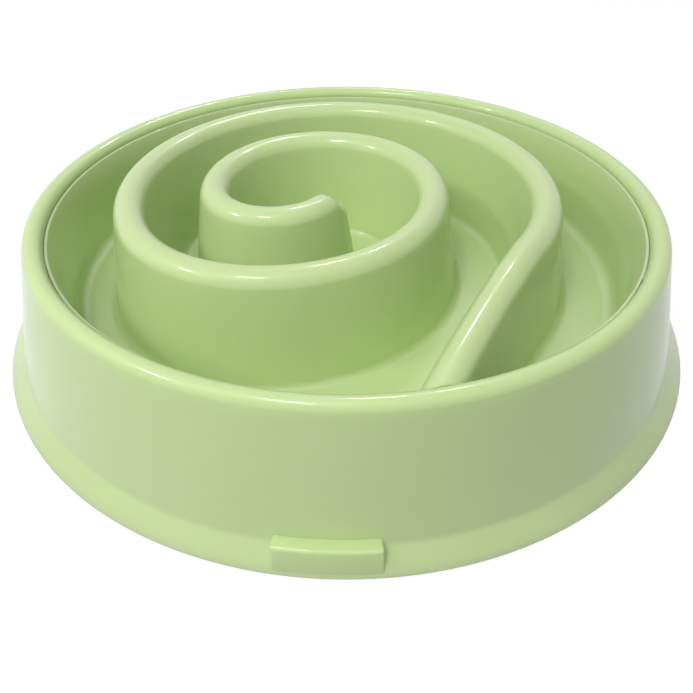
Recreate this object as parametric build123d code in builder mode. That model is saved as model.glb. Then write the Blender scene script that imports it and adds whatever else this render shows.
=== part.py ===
from build123d import *
from math import asin, atan2, cos, degrees, hypot, pi, radians, sin, sqrt, tan
import os

os.makedirs("parts", exist_ok=True)

# Shell
base_d = 280.0
flare_w = 6.6
flare_h = 7.6
skirt_lean = 14.2
skirt_rise = 42.1
rim_round = 3.7
shell_t = 2.8
lip_t = 2.5
lip_h = 8.0
groove_roof = 1.7

# Front block on the flare
block_w = 32.5
block_reach = 4.0
block_rise = 2.1
block_draft = 11.0
block_round = 1.1

# Feet and the ribs over them
foot_n = 6
foot_d = 12.0
foot_proud = 1.0
foot_depth = 3.0
foot_gap = 0.3
foot_round = 0.6
boss_t = 2.5
boss_bite = 1.4
rib_t = 2.4
rib_lap = 8.0

# Dish
dish_gap = 0.3
dish_t = 2.5
dish_depth = 32.7
dish_draft = 4.0
floor_round = 5.0
edge_t = 0.9
edge_rise = 10.0
edge_round = 0.3

# Ridge section
ridge_h = 42.2
ridge_round = 6.0
ridge_draft = 9.0
ridge_root = 3.5
ridge_t = 2.5

# Ridge plan: arcs that run on from each other, with the steps and angles where they change
outer_channel = 25.8
ring_shift = 3.2
lead_step = 27.4
front_step = 8.7
loop_step = 19.4
eye_step = 19.2
tail_a = -30.3
lead_a = 207.5
front_a = 273.0
loop_a = 376.3
eye_a = 552.4
end_a = 687.0
tip_run = 7.6
tip_slope = 50.0
tip_ease = 4.0
tail_bend = 830.0
tail_slope = 7.8
tail_ease = 24.0

# Levels and radii that follow
base_r = base_d / 2
crease_r = base_r - flare_w
crease_z = foot_proud + flare_h
rim_r = crease_r - skirt_lean
rim_z = crease_z + skirt_rise
lip_r = rim_r - rim_round
dish_r = lip_r - dish_gap
floor_z = rim_z - dish_depth
under_z = floor_z - dish_t
ridge_z = floor_z + ridge_h
crown_z = ridge_z - ridge_round
above_z = ridge_z + rim_round
ring_r = dish_r - dish_t - outer_channel - ridge_round
lead_r = ring_r - lead_step
front_r = lead_r + front_step
loop_r = front_r - loop_step
eye_r = loop_r - eye_step
ridge_lean = radians(ridge_draft)
ridge_half = (ridge_round + (crown_z - floor_z) * sin(ridge_lean)) / cos(ridge_lean)
flat_r = dish_r - dish_t - dish_depth * tan(radians(dish_draft)) - floor_round
socket_r = foot_d / 2 + foot_gap
boss_r = socket_r + boss_t
foot_r = crease_r + boss_bite - boss_r
boss_z = foot_proud + foot_depth + boss_t

# Slopes of the flare and of the skirt, which runs from the crease tangent to the rim
flare_slope = atan2(flare_h, -flare_w)
crease_to_rim = hypot(skirt_lean, skirt_rise)
skirt_slope = atan2(skirt_rise, -skirt_lean) - asin(rim_round / crease_to_rim)
skirt_run = sqrt(crease_to_rim**2 - rim_round**2)


def along(point, slope, run):
    """Point a run away along a slope."""
    return (point[0] + run * cos(slope), point[1] + run * sin(slope))


def at_level(point, slope, z):
    """Where the line through a point at a slope reaches a level."""
    return along(point, slope, (z - point[1]) / sin(slope))


def skirt_face(depth, top_z):
    """Bottom, crease and top points of the skirt at a depth under its outer face."""
    low = along((base_r, foot_proud), flare_slope + pi / 2, depth)
    high = along((crease_r, crease_z), skirt_slope + pi / 2, depth)
    gap_x, gap_z = high[0] - low[0], high[1] - low[1]
    turn = sin(skirt_slope - flare_slope)
    run = (gap_x * sin(skirt_slope) - gap_z * cos(skirt_slope)) / turn
    crease = along(low, flare_slope, run)
    return at_level(low, flare_slope, foot_proud), crease, at_level(high, skirt_slope, top_z)


# Ribs with foot sockets, cut back to the middle of the skirt
with BuildPart() as rib_frame:
    with PolarLocations(foot_r, foot_n):
        with Locations((0, 0, foot_proud)):
            Cylinder(boss_r, boss_z - foot_proud, align=(Align.CENTER, Align.CENTER, Align.MIN))
    with PolarLocations(flat_r - rib_lap, foot_n):
        with Locations((0, 0, foot_proud)):
            Box(base_r - flat_r + rib_lap, rib_t, under_z - foot_proud, align=(Align.MIN, Align.CENTER, Align.MIN))
    with BuildSketch(Plane.XZ):
        with BuildLine():
            Polyline((0, foot_proud), *skirt_face(shell_t / 2, rim_z), (0, rim_z), close=True)
        make_face()
    revolve(axis=Axis.Z, mode=Mode.INTERSECT)
    with PolarLocations(foot_r, foot_n):
        with Locations((0, 0, foot_proud)):
            Cylinder(
                socket_r, foot_depth, align=(Align.CENTER, Align.CENTER, Align.MIN), mode=Mode.SUBTRACT
            )

# Block moulded on the front of the flare
block_a = 2 * asin(block_w / 2 / crease_r)
block_top = crease_z + block_rise
block_r = crease_r + block_reach
block_foot_r = block_r + (block_top - foot_proud) * tan(radians(block_draft))
block_back = skirt_face(shell_t / 2, block_top)

with BuildPart() as front_block:
    with BuildSketch(Plane.XZ.rotated((0, 0, -90 - block_a * 90 / pi))):
        with BuildLine():
            Polyline((block_r, block_top), (block_foot_r, foot_proud), *block_back, close=True)
        make_face()
    revolve(axis=Axis.Z, revolution_arc=block_a * 180 / pi)
    outside = front_block.edges().filter_by(lambda e: hypot(e.center().X, e.center().Y) > crease_r)
    corners = outside.filter_by(lambda e: hypot(e.center().X, e.center().Y) > block_r)
    raised = corners.filter_by(lambda e: e.center().Z > crease_z / 2)
    fillet(outside.group_by(Axis.Z)[-1] + raised, block_round)

# Shell: flare, skirt, rolled rim and the lip the dish drops into
groove_z = rim_z - groove_roof
rim_side = along((crease_r, crease_z), skirt_slope, skirt_run)
inner_foot, inner_crease, groove_side = skirt_face(shell_t, groove_z)

with BuildPart() as base_shell:
    with BuildSketch(Plane.XZ):
        with BuildLine():
            Polyline((base_r, foot_proud), (crease_r, crease_z), rim_side)
            ThreePointArc(rim_side, (rim_r, rim_z + rim_round), (lip_r, rim_z))
            Polyline(
                (lip_r, rim_z),
                (lip_r, rim_z - lip_h),
                (lip_r + lip_t, rim_z - lip_h),
                (lip_r + lip_t, groove_z),
                groove_side,
                inner_crease,
                inner_foot,
                (base_r, foot_proud),
            )
        make_face()
    revolve(axis=Axis.Z)
    add(rib_frame.part)
    add(front_block.part)
base_shell.part.label = "base_shell"
export_step(base_shell.part, "parts/base_shell.step")


def dish_face(depth):
    """Half outline of the dish at no depth, or of the hollow inside it, where the wall thins to its edge."""
    lean = radians(dish_draft)
    turn_r = floor_round + dish_t - depth
    low_z = under_z + depth
    wall_r = dish_r - depth / cos(lean)
    corner_z = low_z + turn_r
    corner_r = wall_r - (rim_z - corner_z) * tan(lean) - turn_r / cos(lean)
    wall_foot = (corner_r + turn_r * cos(lean), corner_z - turn_r * sin(lean))
    thin = (wall_r - edge_rise * tan(lean), rim_z - edge_rise)
    edge_r = dish_r - edge_t
    with BuildSketch(Plane.XZ) as face:
        with BuildLine():
            RadiusArc(wall_foot, (corner_r, low_z), turn_r)
            Polyline((corner_r, low_z), (0, low_z), (0, above_z if depth else rim_z))
            if depth:
                Polyline((0, above_z), (edge_r, above_z), (edge_r, rim_z))
                TangentArc(thin, (edge_r, rim_z), tangent=(tan(lean), 1))
                Line(thin, wall_foot)
            else:
                Polyline((0, rim_z), (dish_r, rim_z), wall_foot)
        make_face()
    return face.sketch


def across(x, y, angle):
    """Upright plane at a point, its X along the angle."""
    out = (cos(radians(angle)), sin(radians(angle)), 0)
    return Plane(origin=(x, y, 0), x_dir=out, z_dir=(out[1], -out[0], 0))


def hollow_half(drop, z):
    """Half width of the hollow under the ridge at a level, where the top has sunk by a drop."""
    return (ridge_round - ridge_t - (z - crown_z + drop) * sin(ridge_lean)) / cos(ridge_lean)


def ridge_face(plane, drop, whole):
    """Hollow section of the ridge as it stands on the floor; the half is for its round end."""
    lean = ridge_lean
    mid_z = crown_z - drop
    inner_r = ridge_round - ridge_t
    root_x = (ridge_round + ridge_root - (floor_z + ridge_root - mid_z) * sin(lean)) / cos(lean)
    root_top = (root_x - ridge_root * cos(lean), floor_z + ridge_root - ridge_root * sin(lean))
    side = (ridge_round * cos(lean), mid_z + ridge_round * sin(lean))
    inner_side = (inner_r * cos(lean), mid_z + inner_r * sin(lean))
    with BuildSketch(plane) as face:
        with BuildLine():
            RadiusArc((0, mid_z + ridge_round), side, ridge_round)
            Line(side, root_top)
            RadiusArc(root_top, (root_x, floor_z), -ridge_root)
            Polyline((root_x, floor_z), (hollow_half(drop, floor_z), floor_z), inner_side)
            RadiusArc(inner_side, (0, mid_z + inner_r), -inner_r)
            Line((0, mid_z + inner_r), (0, mid_z + ridge_round))
        make_face()
        if whole:
            mirror(about=Plane.YZ)
    return face.sketch


def slot_face(plane, drop, whole):
    """Section of the hollow where it comes out through the floor."""
    low_z = under_z - dish_t
    low = (hollow_half(drop, low_z), low_z)
    high = (hollow_half(drop, floor_z), floor_z)
    with BuildSketch(plane) as face:
        with BuildLine():
            Polyline((0, low_z), low, high, (0, floor_z), close=True)
        make_face()
        if whole:
            mirror(about=Plane.YZ)
    return face.sketch


# Plan of the ridge from the tail to the eye
radii = [ring_r, lead_r, front_r, loop_r, eye_r]
turns = [tail_a, lead_a, front_a, loop_a, eye_a, end_a]
centres = [(-ring_shift, 0)]
for i in range(1, len(radii)):
    centres.append(along(centres[-1], radians(turns[i]), radii[i - 1] - radii[i]))


def sunk(run, slope, ease):
    """How far a top that eases into a slope has sunk after a run."""
    eased = run**2 / 2 / ease if run < ease else run - ease / 2
    return eased * tan(radians(slope))


def sinking_length(section, start, angle, bend, end, slope, ease):
    """A section carried along a bend while the top sinks; a bend above zero has its centre outside."""
    sections = []
    centre = along(start, radians(angle), bend)
    for run in [0, ease / 2, ease, (ease + end) / 2, end]:
        turned = angle + degrees(run / abs(bend))
        spot = along(centre, radians(turned + 180), bend)
        sections.append(section(across(*spot, turned), sunk(run, slope, ease), True))
    with BuildPart() as length:
        loft(sections)
    return length.part


def tail_length(section):
    """The tail, which leaves the outer ring with a slight counter-bend and sinks until it is past the wall."""
    start = along(centres[0], radians(tail_a), ring_r)
    wall_run = sqrt((dish_r + ring_shift) ** 2 - ring_r**2)
    return sinking_length(section, start, tail_a, tail_bend, wall_run + 2 * ridge_half, tail_slope, tail_ease)


def tip_length(section):
    """The last of the ridge, which sinks steeply to its round end."""
    start = along(centres[-1], radians(end_a), eye_r)
    tip_a = end_a + degrees(tip_run / eye_r)
    tip = along(centres[-1], radians(tip_a), eye_r)
    end_face = section(across(*tip, tip_a), sunk(tip_run, tip_slope, tip_ease), False)
    with BuildPart() as length:
        add(sinking_length(section, start, end_a, -eye_r, tip_run, tip_slope, tip_ease))
        revolve(end_face, Axis((*tip, 0), (0, 0, 1)), 180)
    return length.part


def bent_length(i, section):
    """One arc of the plan with a section carried round it, the last one with its tip."""
    start = along(centres[i], radians(turns[i]), radii[i])
    with BuildPart() as length:
        revolve(section(across(*start, turns[i]), 0, True), Axis((*centres[i], 0), (0, 0, 1)), turns[i + 1] - turns[i])
        if i == len(centres) - 1:
            add(tip_length(section))
    return length.part


# Slot in the floor under the hollow ridge
with BuildPart() as slot:
    for i in range(len(centres)):
        add(bent_length(i, slot_face))
    add(tail_length(slot_face))
    with Locations((0, 0, floor_z)):
        Cylinder(flat_r, ridge_h, mode=Mode.INTERSECT)

# Dish: floor and wall
with BuildPart() as dish_pan:
    revolve(dish_face(0), Axis.Z)
    revolve(dish_face(dish_t), Axis.Z, mode=Mode.SUBTRACT)
    fillet(dish_pan.edges().filter_by(GeomType.CIRCLE).group_by(Axis.Z)[-1].sort_by(SortBy.LENGTH)[0], edge_round)
    add(slot.part, mode=Mode.SUBTRACT)
dish_pan.part.label = "dish_pan"
export_step(dish_pan.part, "parts/dish_pan.step")

# Ridge: the lengths of one continuous spiral, end to end on the floor
for i, name in enumerate(["ridge_ring", "ridge_lead", "ridge_front", "ridge_loop", "ridge_eye"]):
    with BuildPart() as ridge_length:
        add(bent_length(i, ridge_face))
    ridge_length.part.label = name
    export_step(ridge_length.part, f"parts/{name}.step")

with BuildPart() as ridge_tail:
    add(tail_length(ridge_face))
    revolve(dish_face(dish_t), Axis.Z, mode=Mode.INTERSECT)
ridge_tail.part.label = "ridge_tail"
export_step(ridge_tail.part, "parts/ridge_tail.step")

# Feet
for i in range(foot_n):
    with BuildPart() as foot:
        with PolarLocations(foot_r, 1, start_angle=i * 360 / foot_n):
            Cylinder(foot_d / 2, foot_proud + foot_depth, align=(Align.CENTER, Align.CENTER, Align.MIN))
        fillet(foot.edges().group_by(Axis.Z)[0], foot_round)
    foot.part.label = f"foot_{i + 1}"
    export_step(foot.part, f"parts/foot_{i + 1}.step")
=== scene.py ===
import bmesh
import bpy
import numpy as np
from math import asin, atan2, cos, hypot, pi, radians, sin, sqrt, tan
from mathutils import Euler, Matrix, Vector


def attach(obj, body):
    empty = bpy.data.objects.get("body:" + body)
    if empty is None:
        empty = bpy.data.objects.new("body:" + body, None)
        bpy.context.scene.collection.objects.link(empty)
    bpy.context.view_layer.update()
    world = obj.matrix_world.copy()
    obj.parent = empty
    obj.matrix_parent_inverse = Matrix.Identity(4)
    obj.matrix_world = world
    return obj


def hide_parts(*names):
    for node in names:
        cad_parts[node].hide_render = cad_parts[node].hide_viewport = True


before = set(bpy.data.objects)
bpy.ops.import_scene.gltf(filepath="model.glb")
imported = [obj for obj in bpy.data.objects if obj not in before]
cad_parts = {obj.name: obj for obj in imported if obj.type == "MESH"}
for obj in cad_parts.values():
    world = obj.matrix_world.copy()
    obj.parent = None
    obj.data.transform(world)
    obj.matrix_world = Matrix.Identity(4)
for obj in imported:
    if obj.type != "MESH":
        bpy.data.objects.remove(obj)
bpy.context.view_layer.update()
scene = bpy.context.scene
MM = 0.001

# Shell sizes in millimetres
BASE_R = 140.0
FLARE_W = 6.6
FLARE_H = 7.6
SKIRT_LEAN = 14.2
SKIRT_RISE = 42.1
RIM_ROUND = 3.7
SHELL_T = 2.8
LIP_T = 2.5
LIP_H = 8.0
GROOVE_ROOF = 1.7
EDGE_SOFT = 0.5
CREASE_SOFT = 0.9

# Front block
BLOCK_W = 32.5
BLOCK_REACH = 4.0
BLOCK_RISE = 2.1
BLOCK_DRAFT = 11.0
BLOCK_ROUND = 1.2

# Feet and ribs
FOOT_N = 6
FOOT_D = 12.0
FOOT_PROUD = 1.0
FOOT_DEPTH = 3.0
FOOT_GAP = 0.3
FOOT_ROUND = 0.6
FOOT_GROOVE = 0.35
BOSS_T = 2.5
BOSS_BITE = 1.4
RIB_T = 2.4
RIB_LAP = 8.0

# Dish
DISH_GAP = 0.3
DISH_T = 2.5
DISH_DEPTH = 32.7
DISH_DRAFT = 4.0
FLOOR_ROUND = 5.0
EDGE_T = 0.9
EDGE_RISE = 10.0
EDGE_ROUND = 0.3

# Ridge
RIDGE_H = 42.2
RIDGE_ROUND = 6.0
RIDGE_DRAFT = 9.0
RIDGE_ROOT = 3.5
RIDGE_T = 2.5
OUTER_CHANNEL = 25.8
RING_SHIFT = 3.2
ARC_STEPS = (-27.4, 8.7, -19.4, -19.2)
TURNS = (-30.3, 207.5, 273.0, 376.3, 552.4, 687.0)
TIP_RUN = 7.6
TIP_SLOPE = 50.0
TIP_EASE = 4.0
TAIL_BEND = 830.0
TAIL_SLOPE = 7.8
TAIL_EASE = 24.0
ROOT_SINK = 0.02

# Levels and radii that follow
CREASE_R = BASE_R - FLARE_W
CREASE_Z = FOOT_PROUD + FLARE_H
RIM_R = CREASE_R - SKIRT_LEAN
RIM_Z = CREASE_Z + SKIRT_RISE
LIP_R = RIM_R - RIM_ROUND
DISH_R = LIP_R - DISH_GAP
FLOOR_Z = RIM_Z - DISH_DEPTH
UNDER_Z = FLOOR_Z - DISH_T
CROWN_Z = FLOOR_Z + RIDGE_H - RIDGE_ROUND
RING_R = DISH_R - DISH_T - OUTER_CHANNEL - RIDGE_ROUND
FLAT_R = DISH_R - DISH_T - DISH_DEPTH * tan(radians(DISH_DRAFT)) - FLOOR_ROUND
SOCKET_R = FOOT_D / 2 + FOOT_GAP
BOSS_R = SOCKET_R + BOSS_T
FOOT_R = CREASE_R + BOSS_BITE - BOSS_R
BOSS_Z = FOOT_PROUD + FOOT_DEPTH + BOSS_T
FLARE_SLOPE = atan2(FLARE_H, -FLARE_W)
SKIRT_SLOPE = atan2(SKIRT_RISE, -SKIRT_LEAN) - asin(RIM_ROUND / hypot(SKIRT_LEAN, SKIRT_RISE))

# Mesh fineness
ROUND_STEPS = 256
FOOT_STEPS = 48
BLOCK_STEPS = 16
PATH_STEP = 1.8
TIP_ROWS = 10
TIP_FAN = 28
SHARP = radians(24)


def along(point, slope, run):
    """Point a run away along a slope."""
    return (point[0] + run * cos(slope), point[1] + run * sin(slope))


def at_level(point, slope, z):
    """Where the line through a point at a slope reaches a level."""
    return along(point, slope, (z - point[1]) / sin(slope))


def bow(centre, radius, start, end, steps):
    """Points on an arc, angles in degrees."""
    return [along(centre, radians(a), radius) for a in np.linspace(start, end, steps + 1)]


def softened(points, corner, reach, steps=4):
    """Outline with one corner rounded by a short curve."""
    before, here, after = (np.array(points[(corner + k) % len(points)]) for k in (-1, 0, 1))
    start = here + (before - here) * reach / np.linalg.norm(before - here)
    end = here + (after - here) * reach / np.linalg.norm(after - here)
    curve = []
    for t in np.linspace(0, 1, steps + 1):
        curve.append(tuple(start * (1 - t) ** 2 + here * 2 * t * (1 - t) + end * t**2))
    return list(points[:corner]) + curve + list(points[corner + 1:])


def solid(name, points, faces):
    """Closed mesh object from points in millimetres, with doubles merged and faces turned outwards."""
    mesh = bpy.data.meshes.new(name)
    mesh.from_pydata([(x * MM, y * MM, z * MM) for x, y, z in points], [], faces)
    work = bmesh.new()
    work.from_mesh(mesh)
    bmesh.ops.remove_doubles(work, verts=work.verts, dist=1e-7)
    bmesh.ops.dissolve_degenerate(work, edges=work.edges, dist=1e-8)
    bmesh.ops.recalc_face_normals(work, faces=work.faces)
    work.to_mesh(mesh)
    work.free()
    made = bpy.data.objects.new(name, mesh)
    scene.collection.objects.link(made)
    return made


def turned(name, outline, steps=ROUND_STEPS, start=0.0, sweep=360.0):
    """Closed outline of radius and height turned about the upright axis."""
    whole = sweep >= 360.0
    count = steps if whole else steps + 1
    size = len(outline)
    points = []
    for k in range(count):
        a = radians(start + sweep * k / steps)
        points += [(r * cos(a), r * sin(a), z) for r, z in outline]
    faces = []
    for k in range(steps):
        here, there = k * size, (k + 1) % count * size
        for i in range(size):
            j = (i + 1) % size
            if max(outline[i][0], outline[j][0]) > 0:
                faces.append((here + i, here + j, there + j, there + i))
    if not whole:
        faces += [tuple(range(size)), tuple(range(steps * size, count * size))]
    return solid(name, points, faces)


def settled(piece):
    """Piece with its modifiers made real."""
    graph = bpy.context.evaluated_depsgraph_get()
    mesh = bpy.data.meshes.new_from_object(piece.evaluated_get(graph))
    piece.modifiers.clear()
    piece.data = mesh
    return piece


def combined(piece, tool, kind):
    """Piece joined with or cut by a tool, which is used up."""
    step = piece.modifiers.new("combine", "BOOLEAN")
    step.operation = kind
    step.solver = "MANIFOLD"
    step.object = tool
    settled(piece)
    bpy.data.objects.remove(tool)
    return piece


def polished(piece):
    """Smooth faces between sharp edges, with normals that follow the larger faces."""
    work = bmesh.new()
    work.from_mesh(piece.data)
    bmesh.ops.remove_doubles(work, verts=work.verts, dist=2e-6)
    bmesh.ops.dissolve_degenerate(work, edges=work.edges, dist=1e-7)
    for face in work.faces:
        face.smooth = True
    for edge in work.edges:
        edge.smooth = len(edge.link_faces) == 2 and edge.calc_face_angle(pi) < SHARP
    work.to_mesh(piece.data)
    work.free()
    weigh = piece.modifiers.new("weigh", "WEIGHTED_NORMAL")
    weigh.mode = "FACE_AREA_WITH_ANGLE"
    weigh.keep_sharp = True
    return settled(piece)


def named_socket(tree, name, kind, direction, value=None):
    """Group socket with its default value."""
    made = tree.interface.new_socket(name, in_out=direction, socket_type=kind)
    if value is not None:
        made.default_value = value
    return made


def ring_tree():
    """Geometry tree that repeats a piece evenly round the upright axis."""
    tree = bpy.data.node_groups.new("ring_of_pieces", "GeometryNodeTree")
    named_socket(tree, "Geometry", "NodeSocketGeometry", "INPUT")
    named_socket(tree, "Count", "NodeSocketInt", "INPUT", FOOT_N)
    named_socket(tree, "Radius", "NodeSocketFloat", "INPUT", 0.1)
    named_socket(tree, "Finish", "NodeSocketMaterial", "INPUT")
    named_socket(tree, "Geometry", "NodeSocketGeometry", "OUTPUT")
    add = tree.nodes.new
    link = tree.links.new
    given, out = add("NodeGroupInput"), add("NodeGroupOutput")
    circle = add("GeometryNodeMeshCircle")
    place = add("GeometryNodeInstanceOnPoints")
    index, share, turn = add("GeometryNodeInputIndex"), add("ShaderNodeMath"), add("ShaderNodeCombineXYZ")
    per_piece = add("ShaderNodeMath")
    real, paint = add("GeometryNodeRealizeInstances"), add("GeometryNodeSetMaterial")
    per_piece.operation = "DIVIDE"
    per_piece.inputs[0].default_value = 2 * pi
    share.operation = "MULTIPLY"
    link(given.outputs["Count"], circle.inputs["Vertices"])
    link(given.outputs["Radius"], circle.inputs["Radius"])
    link(given.outputs["Count"], per_piece.inputs[1])
    link(index.outputs[0], share.inputs[0])
    link(per_piece.outputs[0], share.inputs[1])
    link(share.outputs[0], turn.inputs["Z"])
    link(circle.outputs["Mesh"], place.inputs["Points"])
    link(given.outputs["Geometry"], place.inputs["Instance"])
    link(turn.outputs[0], place.inputs["Rotation"])
    link(place.outputs[0], real.inputs[0])
    link(real.outputs[0], paint.inputs["Geometry"])
    link(given.outputs["Finish"], paint.inputs["Material"])
    link(paint.outputs[0], out.inputs[0])
    return tree


RING_TREE = ring_tree()


def ringed(piece, radius, finish):
    """Piece repeated round the axis at a radius in millimetres."""
    step = piece.modifiers.new("ring", "NODES")
    step.node_group = RING_TREE
    for item in RING_TREE.interface.items_tree:
        if item.in_out == "INPUT" and item.name == "Radius":
            step[item.identifier] = radius * MM
        if item.in_out == "INPUT" and item.name == "Finish":
            step[item.identifier] = finish
    return settled(piece)


# Finishes
SPECK_CELLS = 55.0
SPECK_SIZE = 0.022
SPECK_PATCHES = 21.0
SPECK_RARITY = 0.62
GRAIN_HEIGHT = 0.06
RELIEF_DEPTH = 0.001
COAT_ROUGHNESS = 0.08
GLOW_DEPTH = 0.008
GLOW_SPREAD = (1.0, 1.2, 0.6)


def mottle_group():
    """Slow drift of tone, fine grain and tiny specks of a moulded surface."""
    tree = bpy.data.node_groups.new("moulded_surface", "ShaderNodeTree")
    named_socket(tree, "Colour", "NodeSocketColor", "INPUT", (0.5, 0.6, 0.3, 1))
    named_socket(tree, "Deep Colour", "NodeSocketColor", "INPUT", (0.45, 0.55, 0.25, 1))
    named_socket(tree, "Speck Colour", "NodeSocketColor", "INPUT", (0.1, 0.1, 0.08, 1))
    named_socket(tree, "Drift Scale", "NodeSocketFloat", "INPUT", 14.0)
    named_socket(tree, "Grain Scale", "NodeSocketFloat", "INPUT", 900.0)
    named_socket(tree, "Roughness", "NodeSocketFloat", "INPUT", 0.25)
    named_socket(tree, "Roughness Spread", "NodeSocketFloat", "INPUT", 0.08)
    named_socket(tree, "Colour", "NodeSocketColor", "OUTPUT")
    named_socket(tree, "Roughness", "NodeSocketFloat", "OUTPUT")
    named_socket(tree, "Height", "NodeSocketFloat", "OUTPUT")
    add = tree.nodes.new
    link = tree.links.new
    given, out = add("NodeGroupInput"), add("NodeGroupOutput")
    where = add("ShaderNodeTexCoord")
    drift, grain = add("ShaderNodeTexNoise"), add("ShaderNodeTexNoise")
    drift.inputs["Detail"].default_value = 3.0
    grain.inputs["Detail"].default_value = 2.0
    cells, dots = add("ShaderNodeTexVoronoi"), add("ShaderNodeMath")
    cells.inputs["Scale"].default_value = SPECK_CELLS
    cells.inputs["Randomness"].default_value = 1.0
    dots.operation = "LESS_THAN"
    dots.inputs[1].default_value = SPECK_SIZE
    tone, speckle = add("ShaderNodeMix"), add("ShaderNodeMix")
    tone.data_type = speckle.data_type = "RGBA"
    rough = add("ShaderNodeMapRange")
    low, high = add("ShaderNodeMath"), add("ShaderNodeMath")
    low.operation, high.operation = "SUBTRACT", "ADD"
    height = add("ShaderNodeMath")
    height.operation = "MULTIPLY_ADD"
    height.inputs[1].default_value = GRAIN_HEIGHT
    rare, keep = add("ShaderNodeTexNoise"), add("ShaderNodeMath")
    rare.inputs["Scale"].default_value = SPECK_PATCHES
    keep.operation = "GREATER_THAN"
    keep.inputs[1].default_value = SPECK_RARITY
    both = add("ShaderNodeMath")
    both.operation = "MULTIPLY"
    for texture in (drift, grain, cells, rare):
        link(where.outputs["Object"], texture.inputs["Vector"])
    link(given.outputs["Drift Scale"], drift.inputs["Scale"])
    link(given.outputs["Grain Scale"], grain.inputs["Scale"])
    link(drift.outputs["Fac"], tone.inputs["Factor"])
    link(given.outputs["Colour"], tone.inputs["A"])
    link(given.outputs["Deep Colour"], tone.inputs["B"])
    link(cells.outputs["Distance"], dots.inputs[0])
    link(rare.outputs["Fac"], keep.inputs[0])
    link(dots.outputs[0], both.inputs[0])
    link(keep.outputs[0], both.inputs[1])
    link(both.outputs[0], speckle.inputs["Factor"])
    link(tone.outputs["Result"], speckle.inputs["A"])
    link(given.outputs["Speck Colour"], speckle.inputs["B"])
    link(given.outputs["Roughness"], low.inputs[0])
    link(given.outputs["Roughness Spread"], low.inputs[1])
    link(given.outputs["Roughness"], high.inputs[0])
    link(given.outputs["Roughness Spread"], high.inputs[1])
    link(drift.outputs["Fac"], rough.inputs["Value"])
    rough.interpolation_type = "SMOOTHSTEP"
    rough.inputs["From Min"].default_value = 0.3
    rough.inputs["From Max"].default_value = 0.7
    link(low.outputs[0], rough.inputs["To Min"])
    link(high.outputs[0], rough.inputs["To Max"])
    link(grain.outputs["Fac"], height.inputs[0])
    link(drift.outputs["Fac"], height.inputs[2])
    link(speckle.outputs["Result"], out.inputs["Colour"])
    link(rough.outputs["Result"], out.inputs["Roughness"])
    link(height.outputs[0], out.inputs["Height"])
    return tree


MOULDED = mottle_group()


def plastic(name, colour, deep, speck, rough, spread, bump, coat, glow):
    """Moulded finish with the shared surface group."""
    made = bpy.data.materials.new(name)
    made.use_nodes = True
    tree = made.node_tree
    shader = tree.nodes["Principled BSDF"]
    surface = tree.nodes.new("ShaderNodeGroup")
    surface.node_tree = MOULDED
    surface.inputs["Colour"].default_value = (*colour, 1)
    surface.inputs["Deep Colour"].default_value = (*deep, 1)
    surface.inputs["Speck Colour"].default_value = (*speck, 1)
    surface.inputs["Roughness"].default_value = rough
    surface.inputs["Roughness Spread"].default_value = spread
    shader.inputs["Coat Weight"].default_value = coat
    shader.inputs["Coat Roughness"].default_value = COAT_ROUGHNESS
    shader.inputs["Subsurface Weight"].default_value = glow
    shader.inputs["Subsurface Radius"].default_value = GLOW_SPREAD
    shader.inputs["Subsurface Scale"].default_value = GLOW_DEPTH
    relief = tree.nodes.new("ShaderNodeBump")
    relief.inputs["Strength"].default_value = bump
    relief.inputs["Distance"].default_value = RELIEF_DEPTH
    tree.links.new(surface.outputs["Colour"], shader.inputs["Base Color"])
    tree.links.new(surface.outputs["Roughness"], shader.inputs["Roughness"])
    tree.links.new(surface.outputs["Height"], relief.inputs["Height"])
    tree.links.new(relief.outputs["Normal"], shader.inputs["Normal"])
    return made


GREEN = (0.535, 0.69, 0.315)
GREEN_DEEP = (0.52, 0.675, 0.3)
GREEN_SPECK = (0.16, 0.2, 0.09)
RUBBER = (0.1, 0.11, 0.09)
RUBBER_DEEP = (0.08, 0.085, 0.07)
RUBBER_SPECK = (0.2, 0.2, 0.17)
GLOSSY = dict(rough=0.42, spread=0.04, bump=0.05, coat=0.6, glow=0.5)
MATT = dict(rough=0.72, spread=0.1, bump=0.4, coat=0.0, glow=0.0)
shell_finish = plastic("shell_plastic", GREEN, GREEN_DEEP, GREEN_SPECK, **GLOSSY)
dish_finish = plastic("dish_plastic", GREEN, GREEN_DEEP, GREEN_SPECK, **GLOSSY)
rubber_finish = plastic("foot_rubber", RUBBER, RUBBER_DEEP, RUBBER_SPECK, **MATT)


# Shell
def skirt_face(depth, top_z):
    """Bottom, crease and top points of the skirt at a depth under its outer face."""
    low = along((BASE_R, FOOT_PROUD), FLARE_SLOPE + pi / 2, depth)
    high = along((CREASE_R, CREASE_Z), SKIRT_SLOPE + pi / 2, depth)
    gap_x, gap_z = high[0] - low[0], high[1] - low[1]
    run = (gap_x * sin(SKIRT_SLOPE) - gap_z * cos(SKIRT_SLOPE)) / sin(SKIRT_SLOPE - FLARE_SLOPE)
    crease = along(low, FLARE_SLOPE, run)
    return [at_level(low, FLARE_SLOPE, FOOT_PROUD), crease, at_level(high, SKIRT_SLOPE, top_z)]


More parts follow.
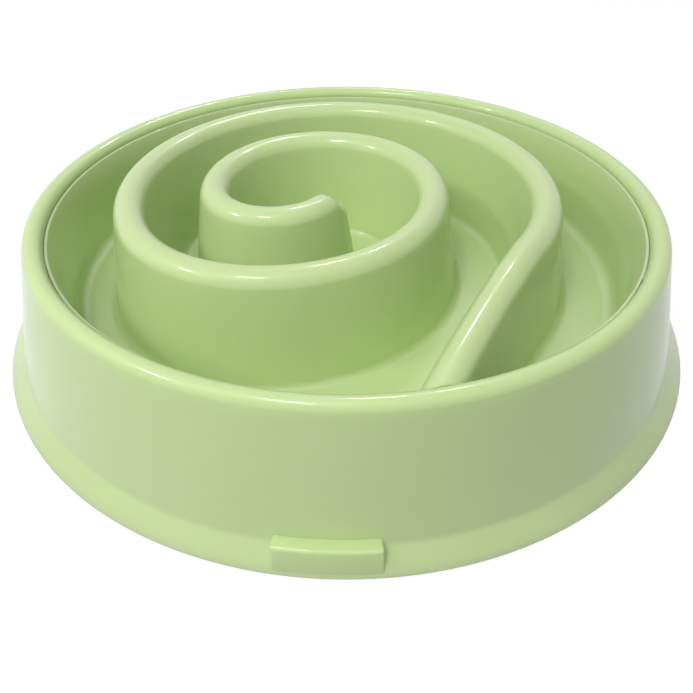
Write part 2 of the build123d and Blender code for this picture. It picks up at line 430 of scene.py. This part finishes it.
def shell_outline():
    """Skirt, rolled rim, lip and inner face, from the flare's outer edge."""
    groove_z = RIM_Z - GROOVE_ROOF
    tangent = np.degrees(SKIRT_SLOPE) - 90
    inner_foot, inner_crease, groove_side = skirt_face(SHELL_T, groove_z)
    corners = [(BASE_R, FOOT_PROUD), (CREASE_R, CREASE_Z)]
    corners += bow((RIM_R, RIM_Z), RIM_ROUND, tangent, 180, 30)
    corners += [(LIP_R, RIM_Z - LIP_H), (LIP_R + LIP_T, RIM_Z - LIP_H), (LIP_R + LIP_T, groove_z)]
    corners += [groove_side, inner_crease, inner_foot]
    corners = softened(corners, 1, CREASE_SOFT)
    return softened(corners, 0, EDGE_SOFT)


def front_block():
    """Moulded block on the front of the flare."""
    top = CREASE_Z + BLOCK_RISE
    reach = CREASE_R + BLOCK_REACH
    foot = reach + (top - FOOT_PROUD - EDGE_SOFT) * tan(radians(BLOCK_DRAFT))
    low, crease, high = skirt_face(SHELL_T / 2, top)
    low = at_level(low, FLARE_SLOPE, FOOT_PROUD + EDGE_SOFT)
    half = np.degrees(asin(BLOCK_W / 2 / CREASE_R))
    outline = [(reach, top), (foot, FOOT_PROUD + EDGE_SOFT), low, crease, high]
    made = turned("block", outline, BLOCK_STEPS, -90 - half, 2 * half)
    soften = made.modifiers.new("soften", "BEVEL")
    soften.width = BLOCK_ROUND * MM
    soften.segments = 4
    soften.limit_method = "ANGLE"
    soften.angle_limit = radians(60)
    return settled(made)


def rib_and_boss():
    """One rib with its foot boss, placed from the foot's own axis."""
    pillar = [(0, FOOT_PROUD), (BOSS_R, FOOT_PROUD), (BOSS_R, BOSS_Z), (0, BOSS_Z)]
    boss = turned("boss", pillar, FOOT_STEPS)
    start, end = FLAT_R - RIB_LAP - FOOT_R, BASE_R - FOOT_R
    side = RIB_T / 2
    plan = [(start, -side), (end, -side), (end, side), (start, side)]
    corners = [(x, y, z) for z in (FOOT_PROUD, UNDER_Z) for x, y in plan]
    faces = [(0, 1, 2, 3), (4, 5, 6, 7)] + [(k, (k + 1) % 4, (k + 1) % 4 + 4, k + 4) for k in range(4)]
    return combined(boss, solid("rib", corners, faces), "UNION")


def bowl_shell():
    """Shell with its ribs, sockets and front block."""
    made = turned("bowl_shell", shell_outline())
    inside = [(0, FOOT_PROUD - 1)] + skirt_face(SHELL_T / 2, RIM_Z) + [(0, RIM_Z)]
    inside[1] = at_level(inside[1], FLARE_SLOPE, FOOT_PROUD - 1)
    ribs = combined(ringed(rib_and_boss(), FOOT_R, shell_finish), turned("inside", inside), "INTERSECT")
    hole = [(0, 0), (SOCKET_R, 0), (SOCKET_R, FOOT_PROUD + FOOT_DEPTH), (0, FOOT_PROUD + FOOT_DEPTH)]
    combined(made, ribs, "UNION")
    combined(made, ringed(turned("socket", hole, FOOT_STEPS), FOOT_R, shell_finish), "DIFFERENCE")
    combined(made, front_block(), "UNION")
    return polished(made)


# Dish
def dish_outline():
    """Floor, wall thinning to its edge, and underside, from the axis outwards."""
    lean = radians(DISH_DRAFT)

    def corner(depth):
        turn_r = FLOOR_ROUND + DISH_T - depth
        wall_r = DISH_R - depth / cos(lean)
        corner_z = UNDER_Z + depth + turn_r
        return (wall_r - (RIM_Z - corner_z) * tan(lean) - turn_r / cos(lean), corner_z), turn_r, wall_r

    inner, inner_r, wall_r = corner(DISH_T)
    outer, outer_r, _ = corner(0)
    thin = np.array((wall_r - EDGE_RISE * tan(lean), RIM_Z - EDGE_RISE))
    edge = np.array((DISH_R - EDGE_T, RIM_Z))
    away = np.array((cos(lean), -sin(lean)))
    bend_r = (edge - thin) @ (edge - thin) / (2 * (edge - thin) @ away)
    bend = thin + bend_r * away
    bend_end = np.degrees(atan2(edge[1] - bend[1], edge[0] - bend[0]))
    points = [(0, FLOOR_Z)]
    points += bow(inner, inner_r, 270, 360 - DISH_DRAFT, 12)
    points += bow(bend, bend_r, 180 - DISH_DRAFT, bend_end, 10)
    corner_at = len(points) - 1
    points += [(DISH_R, RIM_Z)]
    points += bow(outer, outer_r, 360 - DISH_DRAFT, 270, 12)
    return softened(points + [(0, UNDER_Z)], corner_at, EDGE_ROUND)


def ridge_half(inset, drop):
    """Half section of the ridge, or of the hollow under it, from the crown to the middle of its foot."""
    top_r = RIDGE_ROUND - inset
    mid_z = CROWN_Z - drop
    low_z = UNDER_Z - DISH_T if inset else FLOOR_Z - DISH_T / 2
    lean = radians(RIDGE_DRAFT)
    points = bow((0, mid_z), top_r, 90, RIDGE_DRAFT, 14)
    root = 0 if inset else RIDGE_ROOT
    root_z = low_z if inset else FLOOR_Z - ROOT_SINK
    root_x = (top_r + root - (root_z + root - mid_z) * sin(lean)) / cos(lean)
    if inset:
        points += [(root_x, low_z)]
    else:
        points += bow((root_x, root_z + root), root, 180 + RIDGE_DRAFT, 270, 10)
        points += [(root_x, low_z)]
    return points + [(0, low_z)]


def ridge_plan():
    """Centres, radii and turning angles of the arcs, from the tail to the eye."""
    radii = [RING_R + sum(ARC_STEPS[:k]) for k in range(len(ARC_STEPS) + 1)]
    centres = [(-RING_SHIFT, 0.0)]
    for k in range(1, len(radii)):
        centres.append(along(centres[-1], radians(TURNS[k]), radii[k - 1] - radii[k]))
    return centres, radii


def sunk(run, slope, ease):
    """How far a top that eases into a slope has sunk after a run."""
    eased = run**2 / 2 / ease if run < ease else run - ease / 2
    return eased * tan(radians(slope))


def tail_half(inset, run):
    """Half section a run along the sinking tail."""
    return ridge_half(inset, sunk(run, TAIL_SLOPE, TAIL_EASE))


def tail_spot(x, run):
    """Plan point a run along the tail and an offset across it, on its slight counter-bend."""
    start = along((-RING_SHIFT, 0), radians(TURNS[0]), RING_R)
    centre = along(start, radians(TURNS[0]), TAIL_BEND)
    return along(centre, radians(TURNS[0] + 180) + run / TAIL_BEND, TAIL_BEND - x)


def tail_ends(inset, reach):
    """Run along the tail at which each point of the section meets a wall of that reach at its level."""
    ends = []
    count = len(ridge_half(inset, 0))
    for k in range(-count + 1, count):
        low, high = 0.0, 2 * RING_R
        for _ in range(40):
            run = (low + high) / 2
            x, z = tail_half(inset, run)[abs(k)]
            if hypot(*tail_spot(x if k >= 0 else -x, run)) < reach(z):
                low = run
            else:
                high = run
        ends.append(low)
    return ends


def bent_row(centre, radius, angle, half):
    """Whole section of the ridge at an angle on one of its arcs."""
    row = []
    for k in range(-len(half) + 1, len(half)):
        x, z = half[abs(k)]
        row.append((*along(centre, radians(angle), radius + (x if k >= 0 else -x)), z))
    return row


def ridge_solid(name, inset, reach):
    """Whole ridge, or the hollow under it, from the tail in the wall to the rounded end in the eye."""
    count = len(ridge_half(inset, 0))
    rows = []
    ends = tail_ends(inset, reach)
    steps = int(max(ends) / PATH_STEP)
    for s in range(steps, 0, -1):
        row = []
        for k, end in zip(range(-count + 1, count), ends):
            run = end * s / steps
            x, z = tail_half(inset, run)[abs(k)]
            row.append((*tail_spot(x if k >= 0 else -x, run), z))
        rows.append(row)
    centres, radii = ridge_plan()
    for i, centre in enumerate(centres):
        sweep = TURNS[i + 1] - TURNS[i]
        steps = int(radians(sweep) * radii[i] / PATH_STEP)
        for s in range(steps):
            rows.append(bent_row(centre, radii[i], TURNS[i] + sweep * s / steps, ridge_half(inset, 0)))
    for run in np.linspace(0, TIP_RUN, TIP_ROWS):
        half = ridge_half(inset, sunk(run, TIP_SLOPE, TIP_EASE))
        tip_a = TURNS[-1] + np.degrees(run / radii[-1])
        rows.append(bent_row(centres[-1], radii[-1], tip_a, half))
    width = 2 * count - 1
    points = [p for row in rows for p in row]
    faces = [tuple(range(width))]
    for s in range(len(rows) - 1):
        for k in range(width - 1):
            faces.append((s * width + k, s * width + k + 1, (s + 1) * width + k + 1, (s + 1) * width + k))
    tip = along(centres[-1], radians(tip_a), radii[-1])
    base = len(points)
    for s in range(TIP_FAN + 1):
        a = radians(tip_a + 180 * s / TIP_FAN)
        points += [(tip[0] + x * cos(a), tip[1] + x * sin(a), z) for x, z in half]
    for s in range(TIP_FAN):
        for k in range(count - 1):
            here = base + s * count + k
            faces.append((here, here + 1, here + count + 1, here + count))
    return solid(name, points, faces)


def bowl_dish():
    """Dish with the ridge raised from its floor and hollow underneath."""
    lean = radians(DISH_DRAFT)

    def middle(z):
        flat = FLOOR_Z + FLOOR_ROUND
        r = DISH_R - DISH_T / 2 - (RIM_Z - max(z, flat)) * tan(lean)
        if z < flat:
            turn = FLOOR_ROUND + DISH_T / 2
            r -= turn - sqrt(max(turn**2 - (flat - z) ** 2, 0))
        return r

    made = turned("bowl_dish", dish_outline())
    combined(made, ridge_solid("ridge", 0, middle), "UNION")
    combined(made, ridge_solid("hollow", RIDGE_T, lambda z: FLAT_R), "DIFFERENCE")
    return polished(made)


# Feet
def foot_plug():
    """One rubber foot with two ring pads on its underside."""
    r = FOOT_D / 2
    top = FOOT_PROUD + FOOT_DEPTH
    points = [(0, FOOT_GROOVE), (1.6, FOOT_GROOVE), (2.0, 0), (3.2, 0)]
    points += [(3.5, FOOT_GROOVE), (4.0, FOOT_GROOVE), (4.3, 0)]
    points += bow((r - FOOT_ROUND, FOOT_ROUND), FOOT_ROUND, 270, 360, 6)
    points += bow((r - FOOT_ROUND / 2, top - FOOT_ROUND / 2), FOOT_ROUND / 2, 0, 90, 4)
    return turned("rubber_feet", points + [(0, top)], FOOT_STEPS)


shell = bowl_shell()
dish = bowl_dish()
feet = polished(ringed(foot_plug(), FOOT_R, rubber_finish))

for piece, finish, body, slot in (
    (shell, shell_finish, "shell", "shell_plastic"),
    (dish, dish_finish, "dish", "dish_plastic"),
    (feet, rubber_finish, "shell", "foot_rubber"),
):
    piece.data.materials.clear()
    piece.data.materials.append(finish)
    piece.data.polygons.foreach_set("material_index", [0] * len(piece.data.polygons))
    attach(piece, body)
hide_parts("base_shell")
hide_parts("dish_pan", *[f"ridge_{k}" for k in ("tail", "ring", "lead", "front", "loop", "eye")])
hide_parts(*[f"foot_{k + 1}" for k in range(FOOT_N)])


# Floor
FLOOR_TONE = 0.22
FLOOR_LIFT = 0.86
FLOOR_RADIUS = 6.0


def seen_directly(tree):
    """One for rays from the camera or seen in gloss or through glass, none for light on the object."""
    path = tree.nodes.new("ShaderNodeLightPath")
    either, any_kind = tree.nodes.new("ShaderNodeMath"), tree.nodes.new("ShaderNodeMath")
    either.operation = any_kind.operation = "MAXIMUM"
    tree.links.new(path.outputs["Is Camera Ray"], either.inputs[0])
    tree.links.new(path.outputs["Is Glossy Ray"], either.inputs[1])
    tree.links.new(either.outputs[0], any_kind.inputs[0])
    tree.links.new(path.outputs["Is Transmission Ray"], any_kind.inputs[1])
    return any_kind.outputs[0]


def floor_finish():
    """White where it is seen, with the object's soft shadow kept."""
    made = bpy.data.materials.new("studio_floor")
    made.use_nodes = True
    tree = made.node_tree
    shader = tree.nodes["Principled BSDF"]
    shader.inputs["Base Color"].default_value = (FLOOR_TONE, FLOOR_TONE, FLOOR_TONE, 1)
    shader.inputs["Roughness"].default_value = 0.9
    shader.inputs["Specular IOR Level"].default_value = 0.1
    shader.inputs["Emission Color"].default_value = (1, 1, 1, 1)
    lift = tree.nodes.new("ShaderNodeMath")
    lift.operation = "MULTIPLY"
    lift.inputs[1].default_value = FLOOR_LIFT
    tree.links.new(seen_directly(tree), lift.inputs[0])
    tree.links.new(lift.outputs[0], shader.inputs["Emission Strength"])
    return made


bpy.ops.mesh.primitive_circle_add(vertices=96, radius=FLOOR_RADIUS, fill_type="NGON")
floor = bpy.context.object
floor.name = "studio_floor"
floor.data.materials.append(floor_finish())

# Light
SKY_LIGHT = 0.36
BOWL_MIDDLE = (0, 0, 0.03)
world = bpy.data.worlds.new("studio")
scene.world = world
world.use_nodes = True
sky = world.node_tree.nodes["Background"]
sky.inputs["Color"].default_value = (1.0, 1.0, 1.0, 1)
shown = world.node_tree.nodes.new("ShaderNodeMapRange")
shown.inputs["To Min"].default_value = SKY_LIGHT
shown.inputs["To Max"].default_value = 1.0
world.node_tree.links.new(seen_directly(world.node_tree), shown.inputs["Value"])
world.node_tree.links.new(shown.outputs["Result"], sky.inputs["Strength"])


def lamp(name, spot, size, power, glint=True, wash=True):
    """Studio lamp of a width and height aimed at the bowl, for its wash of light, its glint or both."""
    data = bpy.data.lights.new(name, "AREA")
    data.shape = "RECTANGLE"
    data.size, data.size_y = size
    data.energy = power
    made = bpy.data.objects.new(name, data)
    made.location = spot
    made.visible_glossy = glint
    made.visible_diffuse = wash
    made.rotation_euler = (Vector(BOWL_MIDDLE) - Vector(spot)).to_track_quat("-Z", "Y").to_euler()
    scene.collection.objects.link(made)


lamp("key_left", (-0.633, -0.238, 0.669), (0.12, 0.06), 1.3)
lamp("key_front", (-0.16, -0.30, 0.77), (0.16, 0.06), 1.5)
lamp("front_high", (-0.35, -0.68, 0.85), (0.5, 0.5), 5.1, glint=False)
lamp("back_high", (0.03, 0.78, 1.04), (0.13, 0.06), 1.5, wash=False)
lamp("back_right", (0.2, 0.8, 0.95), (0.09, 0.05), 1.1, wash=False)

# Camera at the photo's angle for a square frame
CAMERA_TURN = radians(2.4)
CAMERA_OUT = 254.6
CAMERA_UP = 182.3 + FOOT_PROUD
CAMERA_PITCH = 0.6871
FOCUS_PX = 700.0
FRAME_PX = 693.0
lens = bpy.data.cameras.new("photo_view")
lens.sensor_width = 36.0
lens.lens = lens.sensor_width * FOCUS_PX / FRAME_PX
lens.clip_start = 0.01
camera = bpy.data.objects.new("photo_view", lens)
camera.location = Vector((CAMERA_OUT * sin(CAMERA_TURN), -CAMERA_OUT * cos(CAMERA_TURN), CAMERA_UP)) * MM
camera.rotation_euler = Euler((pi / 2 - CAMERA_PITCH, 0, CAMERA_TURN))
scene.collection.objects.link(camera)
scene.camera = camera
scene.view_settings.view_transform = "Standard"
